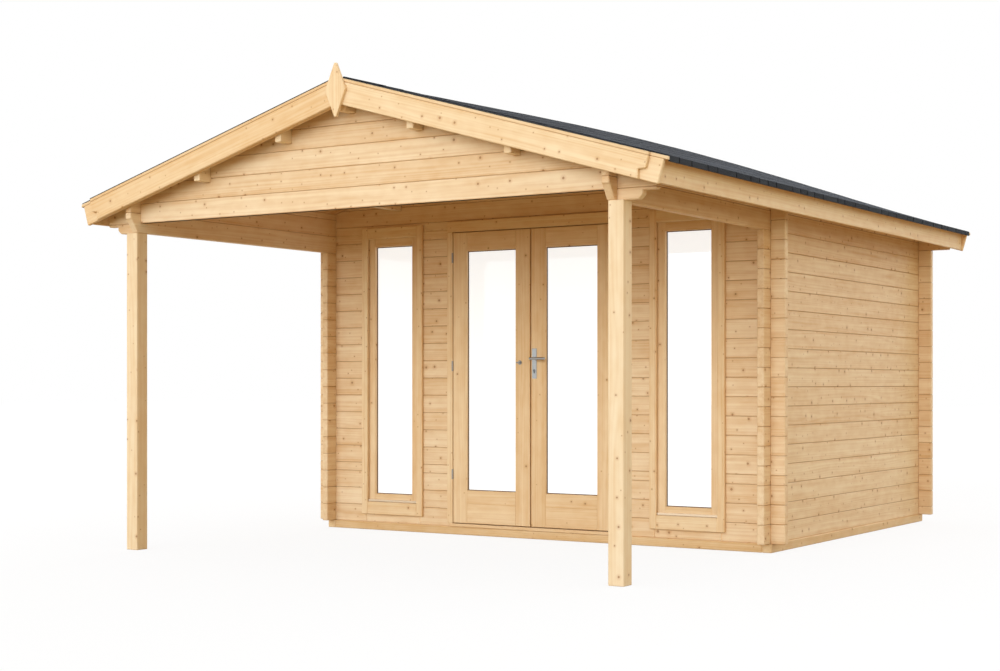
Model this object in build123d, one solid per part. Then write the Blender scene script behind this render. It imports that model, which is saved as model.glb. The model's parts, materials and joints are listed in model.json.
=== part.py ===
from build123d import *
import os
from math import cos, pi, radians, sin, tan

# Log cabin with a porch under one low gable roof. Lengths are in millimetres.
# X runs along the front, +Y from the porch to the rear wall and +Z up.
# While the pieces are drawn, y = 0 is the outer face of the front wall. They are written
# with the origin on the ground, under the middle of the whole cabin.

# Walls of stacked logs
log_thickness = 44
log_height = 114
room_width = 3250            # over the outer faces of the side walls
room_depth = 2664            # over the outer faces of the front and rear walls
log_overhang = 92            # crossed log ends past the corners
wall_course_count = 16       # courses below the logs that run out over the porch
foundation_height = 52
foundation_width = 60
foundation_reach = 12        # foundation beams stand this far out of the walls
floor_thickness = 18
joist_count = 3

# Porch
porch_depth = 1872           # front wall face to the front faces of the posts
post_size = 86
post_inset = 6               # post stands this far outside the inner face of its side beam
beam_nose_reach = 58         # side beams pass the front faces of the posts
beam_nose_height = 76        # upright end of a side beam is cut away below this height
beam_nose_ledge = 8          # small level ledge at the foot of the upright end
gable_end_reach = 217        # log ends of the outer gables past the side walls
corbel_step_reach = 76       # lower step of a corbel ends this far before the upper one
corbel_step_height = 44
corbel_chamfer = 24

# Roof
roof_pitch = 16.13           # degrees
beam_height = 275            # side walls' top logs, up to the top of the roof boards over them
eave_reach = 325             # roof boards past the side walls
roof_board_thickness = 18
shingle_thickness = 7
shingle_fold = 26            # shingles fold down over the eave edge
shingle_crown = 66           # covering rises over the boards by this much in mid-slope
crown_lean = 0.8             # below 1 the crown is highest nearer the porch
crown_sections = 6           # spans of the crowned covering from front to rear
fascia_setback = 50          # outer face of an eave fascia behind the roof's edge
fascia_height = 118
fascia_thickness = 18
bargeboard_height = 120
bargeboard_thickness = 22
bargeboard_setback = 12      # bargeboard ends this far before the roof boards
face_board_thickness = 20
face_board_shorter = 84      # face board ends this far before the roof boards
face_end_height = 62         # square end of a face board above its notch
face_notch_width = 41        # level cut under the square end
lath_reach = 8               # ends of the cover laths past the roof boards
front_roof_reach = 111       # front face of the face boards in front of the posts
rear_roof_reach = 111        # rear face of the rear boards behind the rear wall
purlin_width = 44
purlin_height = 160
inner_purlin_offset = 447    # from the ridge to the first purlin
outer_purlin_offset = 1049

# Finial, a flat diamond over the meeting bargeboards
finial_width = 138
finial_height = 288
finial_thickness = 18
finial_tip = 12
finial_centre_below_ridge = 72

# Double door
door_half_width = 592        # from the middle of the door to a leaf's hinge edge
door_gap = 6                 # round the leaves
door_meeting_gap = 9         # between the leaves
threshold_thickness = 20
door_top = 1965
leaf_thickness = 42
leaf_face_reach = 20         # leaves and architraves stand out of the wall
door_stile = 108
door_top_rail = 122
door_bottom_rail = 213
door_frame_thickness = 20
architrave_overlap = 24      # architraves lap over the wall past the frame
door_head_height = 76
glass_thickness = 5
glass_clearance = 0.3

# Door furniture
plate_width = 33
plate_height = 190
plate_thickness = 3
plate_centre_x = 30
plate_bottom = 1016
lever_height = 1142
lever_length = 110
lever_diameter = 16
lever_stand_off = 45         # from the plate to the lever's centre line
spindle_diameter = 9
spindle_clearance = 0.5
hinge_diameter = 10
hinge_knuckle_height = 32
hinge_knuckle_gap = 0.4
hinge_plate_depth = 26
hinge_plate_thickness = 2
hinge_bottom_inset = 316     # lowest hinge above the foot of a leaf
hinge_top_inset = 161        # highest hinge below the top of a leaf

# Tall fixed windows
window_centre_x = 1093
window_opening_width = 444
window_opening_bottom = 130
window_opening_top = 2006
window_glass_width = 305
window_glass_bottom = 242
window_glass_top = 1904
window_frame_depth = 56
window_frame_inset = 4       # sash face behind the wall's outer face
window_trim_width = 500
window_trim_side = 48
window_trim_bottom = 105
window_trim_top = 2032
window_trim_bottom_height = 84
window_trim_top_height = 74
drip_rail_depth = 14
drip_rail_height = 13
drip_rail_rise = 3           # bottom of the rail above the bottom trim board's top edge

# Sizes worked out from the ones above
half_room = room_width / 2
side_inner = half_room - log_thickness
slope = tan(radians(roof_pitch))
slope_cos = cos(radians(roof_pitch))
slope_sin = sin(radians(roof_pitch))
half_roof = half_room + eave_reach
wall_top = foundation_height + wall_course_count * log_height
gable_bottom = wall_top + log_height / 2
ridge_height = wall_top + beam_height + half_room * slope
floor_top = foundation_height + floor_thickness
door_sill_height = foundation_height + threshold_thickness
post_front = -porch_depth
post_back = post_front + post_size
post_inner = side_inner + post_inset
gable_front = post_front + (post_size - log_thickness) / 2
gable_back = gable_front + log_thickness
board_front = post_front - front_roof_reach
bargeboard_front = board_front + face_board_thickness
roof_front = bargeboard_front + bargeboard_thickness
rear_board_back = room_depth + rear_roof_reach
rear_bargeboard_back = rear_board_back - face_board_thickness
roof_back = rear_bargeboard_back - bargeboard_thickness
finial_front = board_front - finial_thickness
gable_end = half_room + gable_end_reach
origin_y = (finial_front + rear_board_back) / 2


def roof_line(x, below=0.0):
    """Height of the roof boards' top face at x, less a thickness square to the slope."""
    return ridge_height - abs(x) * slope - below / slope_cos


def underside(x):
    return roof_line(x, roof_board_thickness)


def block(x0, x1, y0, y1, z0, z1):
    """Upright box between two opposite corners."""
    return Pos((x0 + x1) / 2, (y0 + y1) / 2, (z0 + z1) / 2) * Box(x1 - x0, y1 - y0, z1 - z0)


def prism_y(outline, y0, y1):
    """Solid with an outline of (x, z) points that runs from y0 to y1."""
    face = make_face(Polyline(*[(x, y0, z) for x, z in outline], close=True))
    return extrude(face, amount=y1 - y0, dir=(0, 1, 0))


def prism_x(outline, x0, x1):
    """Solid with an outline of (y, z) points that runs from x0 to x1."""
    face = make_face(Polyline(*[(x0, y, z) for y, z in outline], close=True))
    return extrude(face, amount=x1 - x0, dir=(1, 0, 0))


def mirrored(shape):
    """The same piece on the other side of the cabin."""
    return mirror(shape, about=Plane.YZ)


def save(name, *solids):
    """Write one node, moved to the cabin's own origin."""
    moved = [Pos(0, -origin_y, 0) * solid for solid in solids]
    shape = moved[0] if len(moved) == 1 else Compound(children=moved)
    export_step(shape, f"parts/{name}.step")


def save_pair(name, right):
    """Write a left and a right node from the right-hand piece."""
    save(f"{name}_right", right)
    save(f"{name}_left", mirrored(right))


# Foundation and floor
def foundation_side_beam():
    outer = half_room + foundation_reach
    return block(outer - foundation_width, outer, -foundation_reach,
                 room_depth + foundation_reach, 0, foundation_height)


def foundation_cross_beams():
    reach = half_room + foundation_reach - foundation_width
    first = -foundation_reach
    last = room_depth + foundation_reach - foundation_width
    spacing = (last - first) / (joist_count + 1)
    return [block(-reach, reach, first + i * spacing, first + i * spacing + foundation_width,
                  0, foundation_height) for i in range(joist_count + 2)]


def floor():
    return block(-side_inner, side_inner, log_thickness, room_depth - log_thickness,
                 foundation_height, floor_top)


# Walls
def side_wall():
    return block(side_inner, half_room, -log_overhang, room_depth + log_overhang,
                 foundation_height, wall_top)


def purlin_rows():
    """Centre x of every purlin, from left to right."""
    return [-outer_purlin_offset, -inner_purlin_offset, 0, inner_purlin_offset, outer_purlin_offset]


def purlin(centre):
    left = centre - purlin_width / 2
    right = centre + purlin_width / 2
    bottom = underside(centre) - purlin_height
    top = [(right, underside(right)), (left, underside(left))]
    if centre == 0:
        top.insert(1, (0, underside(0)))
    return prism_y([(left, bottom), (right, bottom)] + top, roof_front, roof_back)


def cut_for_purlins(gable):
    for centre in purlin_rows():
        gable -= purlin(centre)
    return gable


def gable(y0, y1, bottom):
    """Log gable between the side beams, up to the roof boards and round the purlins."""
    outline = [(-side_inner, bottom), (side_inner, bottom), (side_inner, underside(side_inner)),
               (0, underside(0)), (-side_inner, underside(side_inner))]
    return cut_for_purlins(prism_y(outline, y0, y1))


def log_end(y0, y1, bottom, top=None):
    """Crossed log ends outside the right side wall, cut by the roof where they reach it."""
    outer = half_room + log_overhang
    outline = [(half_room, bottom), (outer, bottom)]
    if top is None:
        outline += [(outer, underside(outer)), (half_room, underside(half_room))]
    else:
        outline += [(outer, top), (half_room, top)]
    return prism_y(outline, y0, y1)


def corbel(y0, y1, bottom):
    """Long stepped log end of an outer gable, right side, from a bottom height to the roof."""
    step = bottom + corbel_step_height
    lower_end = gable_end - corbel_step_reach
    outline = [(half_room, bottom), (lower_end - corbel_chamfer, bottom),
               (lower_end, bottom + corbel_step_height / 2), (lower_end, step), (gable_end, step),
               (gable_end, underside(gable_end)), (half_room, underside(half_room))]
    return prism_y(outline, y0, y1)


def side_beam():
    """Top logs of the right side wall, which run forward over the post with a cut-back nose."""
    nose_front = post_front - beam_nose_reach
    upright = wall_top + beam_nose_height
    outline = [(nose_front, upright), (nose_front + beam_nose_ledge, upright),
               (post_front, wall_top), (roof_back, wall_top),
               (roof_back, underside(side_inner)), (nose_front, underside(side_inner))]
    above = [(side_inner, underside(side_inner)), (half_room, underside(half_room)),
             (half_room, underside(side_inner))]
    beam = prism_x(outline, side_inner, half_room)
    return beam - prism_y(above, nose_front, roof_back)


def post():
    return block(post_inner, post_inner + post_size, post_front, post_back, 0, wall_top)


door_opening = door_half_width + door_gap + door_frame_thickness
door_head_top = door_top + door_gap + door_frame_thickness
window_inner = window_centre_x - window_opening_width / 2
window_outer = window_centre_x + window_opening_width / 2


def front_wall_side():
    """Logs on both sides of the right window, with the crossed ends outside the side wall."""
    pier = block(door_opening, window_inner, 0, log_thickness, foundation_height, door_head_top)
    corner = block(window_outer, side_inner, 0, log_thickness, foundation_height, door_head_top)
    return [pier, corner, log_end(0, log_thickness, foundation_height)]


def front_wall_sill():
    return block(window_inner, window_outer, 0, log_thickness, foundation_height,
                 window_opening_bottom)


def front_wall_top():
    """Logs over the door and the windows with the gable on them."""
    wall = gable(0, log_thickness, door_head_top)
    for side in (-1, 1):
        wall -= block(side * window_centre_x - window_opening_width / 2,
                      side * window_centre_x + window_opening_width / 2,
                      0, log_thickness, window_opening_bottom, window_opening_top)
    return wall


def rear_wall():
    inner = room_depth - log_thickness
    middle = block(-side_inner, side_inner, inner, room_depth, foundation_height, gable_bottom)
    end = log_end(inner, room_depth, foundation_height, gable_bottom)
    return [middle, end, mirrored(end)]


def rear_gable():
    inner = room_depth - log_thickness
    outline = [(half_room, gable_bottom), (gable_end, gable_bottom),
               (gable_end, underside(gable_end)), (half_room, underside(half_room))]
    end = prism_y(outline, inner, room_depth)
    return [gable(inner, room_depth, gable_bottom), end, mirrored(end)]


def porch_gable():
    end = corbel(gable_front, gable_back, wall_top)
    return [gable(gable_front, gable_back, gable_bottom), end, mirrored(end)]


# Roof
def sloped_layer(x0, x1, y0, y1, top, thickness):
    """Layer of the right slope, its top a given distance above the roof boards' top face."""
    outline = [(x0, roof_line(x0, -top)), (x1, roof_line(x1, -top)),
               (x1, roof_line(x1, thickness - top)), (x0, roof_line(x0, thickness - top))]
    return prism_y(outline, y0, y1)


def roof_boards():
    return sloped_layer(0, half_roof, roof_front, roof_back, 0, roof_board_thickness)


def crowned_line(y, end_x, above, rise):
    """Curve over the right slope that stands higher in the middle than a straight line."""
    points = []
    for step in range(crown_sections + 1):
        share = step / crown_sections
        x = end_x * share
        points.append((x, y, roof_line(x, -above) + rise * sin(pi * share)))
    return Spline(*points)


def shingle_section(y, rise):
    """Section through the covering of the right slope, folded down at the eave."""
    outer = half_roof + shingle_thickness
    fold = roof_line(half_roof) - shingle_fold
    under = crowned_line(y, half_roof, 0, rise)
    over = crowned_line(y, outer, shingle_thickness, rise)
    eave = Polyline(under @ 1, (half_roof, y, fold), (outer, y, fold), over @ 1)
    ridge = Line(under @ 0, over @ 0)
    return make_face(Curve() + [under, over, eave, ridge])


def shingles():
    """Covering of the right slope, straight at its edges and gently crowned between them."""
    length = rear_board_back - board_front
    sections = []
    for step in range(crown_sections + 1):
        share = step / crown_sections
        sections.append(shingle_section(board_front + share * length,
                                        shingle_crown * sin(pi * share ** crown_lean)))
    covering = loft(sections)
    for y0, y1 in ((bargeboard_front, roof_front), (roof_back, rear_bargeboard_back)):
        covering -= lath_end(y0, y1)
    face_end = half_roof - face_board_shorter
    low = roof_line(half_roof) - shingle_fold
    high = roof_line(face_end) + shingle_crown
    for y0, y1 in ((board_front, bargeboard_front), (rear_bargeboard_back, rear_board_back)):
        covering -= block(face_end, half_roof + lath_reach, y0, y1, low, high)
    return covering


def lath_end(y0, y1):
    """End of a cover lath that stands out past the roof boards."""
    return sloped_layer(half_roof, half_roof + lath_reach, y0, y1, 0, roof_board_thickness)


def sloped_board(end_x, height, y0, y1):
    """Board along the right rake under the roof boards, its outer end cut square."""
    top = roof_board_thickness
    foot = end_x - height * slope_sin
    outline = [(0, roof_line(0, top)), (end_x, roof_line(end_x, top)),
               (foot, roof_line(end_x, top) - height * slope_cos),
               (0, roof_line(0, top + height))]
    return prism_y(outline, y0, y1)


def face_board(y0, y1):
    """Outer board of the rake, shorter than the bargeboard, its lower corner notched."""
    top = roof_board_thickness
    end_x = half_roof - face_board_shorter
    end_z = roof_line(end_x, top)
    cut_x = end_x - face_end_height * slope_sin
    cut_z = end_z - face_end_height * slope_cos
    foot_x = cut_x - face_notch_width
    outline = [(0, roof_line(0, top)), (end_x, end_z), (cut_x, cut_z), (foot_x, cut_z),
               (foot_x, roof_line(foot_x, top + bargeboard_height)),
               (0, roof_line(0, top + bargeboard_height))]
    return prism_y(outline, y0, y1)


def rake_boards(board_y0, board_y1, face_y0, face_y1):
    """Bargeboard, face board and cover lath of the right rake, nailed into one."""
    board_end = half_roof - bargeboard_setback
    face_end = half_roof - face_board_shorter
    boards = sloped_board(board_end, bargeboard_height, board_y0, board_y1)
    boards += face_board(face_y0, face_y1)
    boards += sloped_layer(0, half_roof, board_y0, board_y1, 0, roof_board_thickness)
    boards += sloped_layer(0, face_end, face_y0, face_y1, 0, roof_board_thickness)
    return boards + lath_end(board_y0, board_y1)


def eave_fascia():
    outer = half_roof - fascia_setback
    inner = outer - fascia_thickness
    outline = [(inner, underside(inner)), (outer, underside(outer)),
               (outer, underside(outer) - fascia_height), (inner, underside(outer) - fascia_height)]
    return prism_y(outline, roof_front, roof_back)


def finial():
    centre = ridge_height - finial_centre_below_ridge
    half_w = finial_width / 2
    half_h = finial_height / 2
    half_tip = finial_tip / 2
    outline = [(-half_w, centre), (-half_tip, centre + half_h), (half_tip, centre + half_h),
               (half_w, centre), (half_tip, centre - half_h), (-half_tip, centre - half_h)]
    return prism_y(outline, finial_front, board_front)


# Door
leaf_front = -leaf_face_reach
leaf_back = leaf_front + leaf_thickness
leaf_bottom = door_sill_height + door_gap
leaf_inner = door_meeting_gap / 2
trim_inner = door_half_width + door_gap
trim_outer = door_opening + architrave_overlap
trim_top = door_top + door_head_height
hinge_x = door_half_width + door_gap / 2
hinge_y = leaf_front - hinge_diameter / 2
hinge_low = leaf_bottom + hinge_bottom_inset
hinge_high = door_top - hinge_top_inset
hinge_heights = (hinge_low, (hinge_low + hinge_high) / 2, hinge_high)
leaf_glass_inner = leaf_inner + door_stile
leaf_glass_outer = door_half_width - door_stile
leaf_glass_bottom = leaf_bottom + door_bottom_rail
leaf_glass_top = door_top - door_top_rail


def door_jamb():
    return block(trim_inner, door_opening, 0, log_thickness, door_sill_height, door_top + door_gap)


def door_head():
    return block(-door_opening, door_opening, 0, log_thickness, door_top + door_gap, door_head_top)


def door_threshold():
    return block(-door_opening, door_opening, -leaf_face_reach, log_thickness,
                 foundation_height, door_sill_height)


def door_architrave():
    side = block(trim_inner, trim_outer, -leaf_face_reach, 0, door_sill_height, door_top + door_gap)
    top = block(-trim_outer, trim_outer, -leaf_face_reach, 0, door_top + door_gap, trim_top)
    return top + side + mirrored(side)


def door_leaf(spindle_hole):
    """Right leaf: stiles and rails round one tall pane."""
    leaf = block(leaf_inner, door_half_width, leaf_front, leaf_back, leaf_bottom, door_top)
    leaf -= block(leaf_glass_inner, leaf_glass_outer, leaf_front, leaf_back,
                  leaf_glass_bottom, leaf_glass_top)
    if spindle_hole:
        leaf -= spindle(leaf_front, leaf_back, spindle_diameter / 2 + spindle_clearance)
    return leaf


def door_glass():
    middle = (leaf_front + leaf_back) / 2
    return block(leaf_glass_inner + glass_clearance, leaf_glass_outer - glass_clearance,
                 middle - glass_thickness / 2, middle + glass_thickness / 2,
                 leaf_glass_bottom + glass_clearance, leaf_glass_top - glass_clearance)


def spindle(y0, y1, radius):
    middle = Pos(plate_centre_x, (y0 + y1) / 2, lever_height)
    return middle * Rot(90, 0, 0) * Cylinder(radius, y1 - y0)


def lock_plates():
    """Plates on both faces of the right leaf, each with a round hole for the spindle."""
    plates = []
    for y0, y1 in ((leaf_front - plate_thickness, leaf_front), (leaf_back, leaf_back + plate_thickness)):
        plate = block(plate_centre_x - plate_width / 2, plate_centre_x + plate_width / 2, y0, y1,
                      plate_bottom, plate_bottom + plate_height)
        plates.append(plate - spindle(y0, y1, spindle_diameter / 2 + spindle_clearance))
    return plates


def door_lever():
    """Outer and inner lever on one spindle through the leaf."""
    front = leaf_front - plate_thickness - lever_stand_off
    back = leaf_back + plate_thickness + lever_stand_off
    lever = spindle(front, back, spindle_diameter / 2)
    for y in (front, back):
        arm = Pos(plate_centre_x + lever_length / 2 - lever_diameter / 2, y, lever_height)
        lever += arm * Rot(0, 90, 0) * Cylinder(lever_diameter / 2, lever_length)
    return lever


def hinge_knuckles(on_leaf):
    """Right-hand butt hinges: upper knuckles ride on the leaf, lower ones stay on the frame."""
    knuckles = []
    for height in hinge_heights:
        z0 = height + (hinge_knuckle_gap / 2 if on_leaf else -hinge_knuckle_gap / 2 - hinge_knuckle_height)
        z1 = z0 + hinge_knuckle_height
        barrel = Pos(hinge_x, hinge_y, (z0 + z1) / 2) * Cylinder(hinge_diameter / 2, z1 - z0)
        if on_leaf:
            plate = block(door_half_width, door_half_width + hinge_plate_thickness,
                          hinge_y, leaf_front + hinge_plate_depth, z0, z1)
        else:
            plate = block(trim_inner - hinge_plate_thickness, trim_inner,
                          hinge_y, leaf_front + hinge_plate_depth, z0, z1)
        knuckles.append(barrel + plate)
    return knuckles


# Windows
def window_frame():
    """Right window: fixed sash in the log wall, round one tall pane."""
    y0 = window_frame_inset
    y1 = y0 + window_frame_depth
    frame = block(window_inner, window_outer, y0, y1, window_opening_bottom, window_opening_top)
    half_glass = window_glass_width / 2
    return frame - block(window_centre_x - half_glass, window_centre_x + half_glass, y0, y1,
                         window_glass_bottom, window_glass_top)


def window_glass():
    half_glass = window_glass_width / 2 - glass_clearance
    middle = window_frame_inset + window_frame_depth / 2
    return block(window_centre_x - half_glass, window_centre_x + half_glass,
                 middle - glass_thickness / 2, middle + glass_thickness / 2,
                 window_glass_bottom + glass_clearance, window_glass_top - glass_clearance)


def window_trim():
    """Flat boards round the right window on the outer face of the wall."""
    half = window_trim_width / 2
    outer = block(window_centre_x - half, window_centre_x + half, -leaf_face_reach, 0,
                  window_trim_bottom, window_trim_top)
    return outer - block(window_centre_x - half + window_trim_side,
                         window_centre_x + half - window_trim_side, -leaf_face_reach, 0,
                         window_trim_bottom + window_trim_bottom_height,
                         window_trim_top - window_trim_top_height)


def drip_rail():
    half = window_trim_width / 2 - window_trim_side
    z0 = window_trim_bottom + window_trim_bottom_height + drip_rail_rise
    return block(window_centre_x - half, window_centre_x + half,
                 window_frame_inset - drip_rail_depth, window_frame_inset,
                 z0, z0 + drip_rail_height)


os.makedirs("parts", exist_ok=True)

side_beam_right = foundation_side_beam()
save("foundation_side_beams", side_beam_right, mirrored(side_beam_right))
save("foundation_cross_beams", *foundation_cross_beams())
save("floor_boards", floor())

save_pair("side_wall", side_wall())
save_pair("side_beam", side_beam())
front_side = front_wall_side()
save("front_wall_right", *front_side)
save("front_wall_left", *[mirrored(solid) for solid in front_side])
sill = front_wall_sill()
save("front_wall_sills", sill, mirrored(sill))
save("front_wall_top", front_wall_top())
save("rear_wall", *rear_wall())
save("rear_gable", *rear_gable())
save("porch_gable", *porch_gable())
front_post = post()
save("porch_posts", front_post, mirrored(front_post))

save("ridge_purlin", purlin(0))
save("side_purlins", *[purlin(centre) for centre in purlin_rows() if centre])
save_pair("roof_boards", roof_boards())
save_pair("shingles", shingles())
front_boards = rake_boards(bargeboard_front, roof_front, board_front, bargeboard_front)
save_pair("front_bargeboard", front_boards)
rear_boards = rake_boards(roof_back, rear_bargeboard_back, rear_bargeboard_back, rear_board_back)
save_pair("rear_bargeboard", rear_boards)
fascia = eave_fascia()
save("eave_fascias", fascia, mirrored(fascia))
save("finial", finial())

jamb = door_jamb()
save("door_jambs", jamb, mirrored(jamb))
save("door_head", door_head())
save("door_threshold", door_threshold())
save("door_architrave", door_architrave())
save("door_leaf_right", door_leaf(True))
save("door_leaf_left", mirrored(door_leaf(False)))
save_pair("door_glass", door_glass())
save("lock_plates", *lock_plates())
save("door_lever", door_lever())
frame_knuckles = hinge_knuckles(False)
save("frame_hinges", *frame_knuckles, *[mirrored(solid) for solid in frame_knuckles])
leaf_knuckles = hinge_knuckles(True)
save("leaf_hinges_right", *leaf_knuckles)
save("leaf_hinges_left", *[mirrored(solid) for solid in leaf_knuckles])

frame = window_frame()
save("window_frames", frame, mirrored(frame))
pane = window_glass()
save("window_glass", pane, mirrored(pane))
trim = window_trim()
save("window_trims", trim, mirrored(trim))
rail = drip_rail()
save("window_drip_rails", rail, mirrored(rail))
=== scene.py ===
import json
from math import cos, pi, radians, sin
from random import Random

import bmesh
import bpy
from mathutils import Matrix, Vector

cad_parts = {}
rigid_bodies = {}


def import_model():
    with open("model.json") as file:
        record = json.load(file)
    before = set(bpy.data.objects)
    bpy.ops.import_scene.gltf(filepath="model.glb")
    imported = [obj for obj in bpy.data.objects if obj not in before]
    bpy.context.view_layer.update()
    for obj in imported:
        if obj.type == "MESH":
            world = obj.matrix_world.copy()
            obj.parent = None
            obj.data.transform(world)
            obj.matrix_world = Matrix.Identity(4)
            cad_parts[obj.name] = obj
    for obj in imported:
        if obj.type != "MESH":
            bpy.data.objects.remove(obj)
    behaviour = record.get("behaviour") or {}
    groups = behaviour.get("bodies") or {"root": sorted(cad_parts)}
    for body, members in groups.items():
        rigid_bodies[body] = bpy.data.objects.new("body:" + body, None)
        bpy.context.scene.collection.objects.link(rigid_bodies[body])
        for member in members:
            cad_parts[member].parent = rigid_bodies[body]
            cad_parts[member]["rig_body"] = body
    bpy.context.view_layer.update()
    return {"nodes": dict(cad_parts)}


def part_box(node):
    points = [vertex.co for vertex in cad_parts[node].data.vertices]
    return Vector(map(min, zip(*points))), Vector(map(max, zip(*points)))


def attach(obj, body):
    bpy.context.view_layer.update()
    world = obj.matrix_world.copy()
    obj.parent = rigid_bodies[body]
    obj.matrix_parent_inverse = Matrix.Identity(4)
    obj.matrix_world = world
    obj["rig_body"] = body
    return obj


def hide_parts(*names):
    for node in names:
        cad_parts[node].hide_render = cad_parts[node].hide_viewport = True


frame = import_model()
nodes = frame["nodes"]

# Lengths are in metres. X runs along the front, +Y from the porch to the rear, +Z up.
ALONG_X = (1, 0, 0)
ALONG_Y = (0, 1, 0)
ALONG_Z = (0, 0, 1)
COURSES = 16                 # log courses below the logs that run out over the porch
WHOLE_COURSES = 3            # above these the front wall's joints step up by half a course
LOG_BEVEL = 0.004
FRAME_BEVEL = 0.003          # posts, purlins and trims
BOARD_BEVEL = 0.0022
SEAL_BEVEL = 0.0008
JOINT_DEPTH = 0.0004         # points this near to a joint take its dark colour of dust and painted shade
SHARP_EDGE = radians(20)
END_GRAIN = 0.7              # cosine from which a face counts as square to the grain
TRUNK = 60                   # boards are cut from trees of this length
PITH_ASIDE = 0.05
PITH_DEPTHS = (0.035, 0.11)  # distances of a board's middle from the pith
TURNED_SHIFT = 7             # gives the narrow faces other knots than the wide ones
WELD = 1e-5
PLANE_TOLERANCE = 1e-6
CUT_MARGIN = 0.001

wall_low, wall_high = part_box("side_wall_right")
course = (wall_high.z - wall_low.z) / COURSES


def joint_height(count):
    """Height of the top of a number of log courses above the foundation."""
    return wall_low.z + count * course


whole_joints = [joint_height(count) for count in range(1, COURSES + 3)]
half_joints = [joint_height(count + 0.5) for count in range(COURSES + 6)]
front_joints = [joint_height(count + 1) for count in range(WHOLE_COURSES)] + half_joints[WHOLE_COURSES:]


# Pieces
def add_piece(name, mesh, body, replaced):
    """Adds a mesh to the scene on a body. It stands for the nodes that it replaces."""
    piece = bpy.data.objects.new(name, mesh)
    bpy.context.scene.collection.objects.link(piece)
    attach(piece, body)
    if replaced:
        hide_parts(*replaced)


def put_vectors(mesh, title, domain, values):
    layer = mesh.attributes.new(title, "FLOAT_VECTOR", domain)
    layer.data.foreach_set("vector", [number for value in values for number in value])


def touches(point, direction, places):
    """Whether a point lies in one of the joints between neighbouring pieces."""
    reach = point.dot(direction)
    return any(abs(reach - place) < JOINT_DEPTH for place in places)


# Timber: solids cut into single logs and boards, each with its own grain
class Timber:
    """Collects rounded boards into one mesh, with each board's grain written at its points."""

    def __init__(self, name):
        self.name = name
        self.random = Random(name)
        self.points, self.faces, self.grain, self.tone = [], [], [], []
        self.groove, self.band, self.flat = [], [], []

    def add(self, bm, bevel, along, joints=None):
        """Adds one closed solid with its grain in one direction.

        joints is a direction and the places along it where the solid meets its neighbours.
        """
        along = Vector(along).normalized()
        level = [face for face in bm.faces if abs(face.normal.dot(along)) < END_GRAIN]
        widest = max(level or list(bm.faces), key=lambda face: face.calc_area())
        depth = (widest.normal - along * widest.normal.dot(along)).normalized()
        across = depth.cross(along)
        centre = sum((vert.co for vert in bm.verts), Vector()) / len(bm.verts)
        edges = [edge for edge in bm.edges
                 if len(edge.link_faces) == 2 and edge.calc_face_angle(0) > SHARP_EDGE]
        bmesh.ops.bevel(bm, geom=edges, offset=bevel, segments=1, profile=0.5,
                        affect="EDGES", clamp_overlap=True)
        shift = self.place_in_tree()
        tone = [self.random.random() for _ in range(3)]
        first = len(self.points)
        half_width = max(abs((vert.co - centre).dot(across)) for vert in bm.verts)
        bm.verts.index_update()
        for vert in bm.verts:
            offset = vert.co - centre
            local = Vector((offset.dot(along), offset.dot(across), offset.dot(depth)))
            # Place across the width, used for the painted shade towards the long edges.
            self.band.append(local.y / half_width)
            self.points.append(vert.co.copy())
            self.grain.append(local + shift)
            self.tone.append(tone)
            self.groove.append(1.0 if joints and touches(vert.co, *joints) else 0.0)
        for face in bm.faces:
            self.faces.append([first + vert.index for vert in face.verts])
            turned = abs(face.normal.dot(across)) > abs(face.normal.dot(depth))
            end = abs(face.normal.dot(along)) > END_GRAIN
            for vert in face.verts:
                local = self.grain[first + vert.index]
                side_place = local.z + TURNED_SHIFT if turned else local.y
                self.flat.append((local.x, side_place, 1.0 if end else 0.0))
        bm.free()

    def place_in_tree(self):
        """Random place of a board in its tree: along the trunk, across and off the pith."""
        along = self.random.uniform(0, TRUNK)
        across = self.random.uniform(-PITH_ASIDE, PITH_ASIDE)
        half = self.random.choice((-1, 1))
        return Vector((along, across, half * self.random.uniform(*PITH_DEPTHS)))

    def prism(self, outline, y0, y1, bevel, along, joints=None):
        """Board with an outline of (x, z) points that runs from y0 to y1."""
        bm = bmesh.new()
        rings = [[bm.verts.new((x, y, z)) for x, z in outline] for y in (y0, y1)]
        bm.faces.new(rings[0])
        bm.faces.new(rings[1])
        for index in range(len(outline)):
            after = (index + 1) % len(outline)
            bm.faces.new((rings[0][index], rings[0][after], rings[1][after], rings[1][index]))
        bmesh.ops.recalc_face_normals(bm, faces=bm.faces[:])
        bm.normal_update()
        self.add(bm, bevel, along, joints)

    def box(self, low, high, bevel, along):
        size = Vector(high) - Vector(low)
        middle = (Vector(high) + Vector(low)) / 2
        bm = bmesh.new()
        bmesh.ops.create_cube(bm, size=1, matrix=Matrix.Translation(middle) @ Matrix.Diagonal((*size, 1)))
        bm.normal_update()
        self.add(bm, bevel, along)

    def finish(self, node, material, slot=None, stands_for=True):
        """Makes the mesh, which rides where a node does and may stand for it."""
        mesh = bpy.data.meshes.new(self.name)
        mesh.from_pydata(self.points, [], self.faces)
        put_vectors(mesh, "grain", "POINT", self.grain)
        put_vectors(mesh, "tone", "POINT", self.tone)
        put_vectors(mesh, "flat", "CORNER", self.flat)
        for title, values in (("groove", self.groove), ("band", self.band)):
            layer = mesh.attributes.new(title, "FLOAT", "POINT")
            layer.data.foreach_set("value", values)
        mesh.materials.append(material)
        replaced = [node] if stands_for else []
        add_piece(self.name, mesh, nodes[node]["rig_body"], replaced)


def node_mesh(name):
    """A node's solids with whole flat faces."""
    bm = bmesh.new()
    bm.from_mesh(nodes[name].data)
    bmesh.ops.remove_doubles(bm, verts=bm.verts, dist=WELD)
    bmesh.ops.dissolve_limit(bm, angle_limit=radians(0.5), verts=bm.verts, edges=bm.edges)
    bm.normal_update()
    return bm


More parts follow.
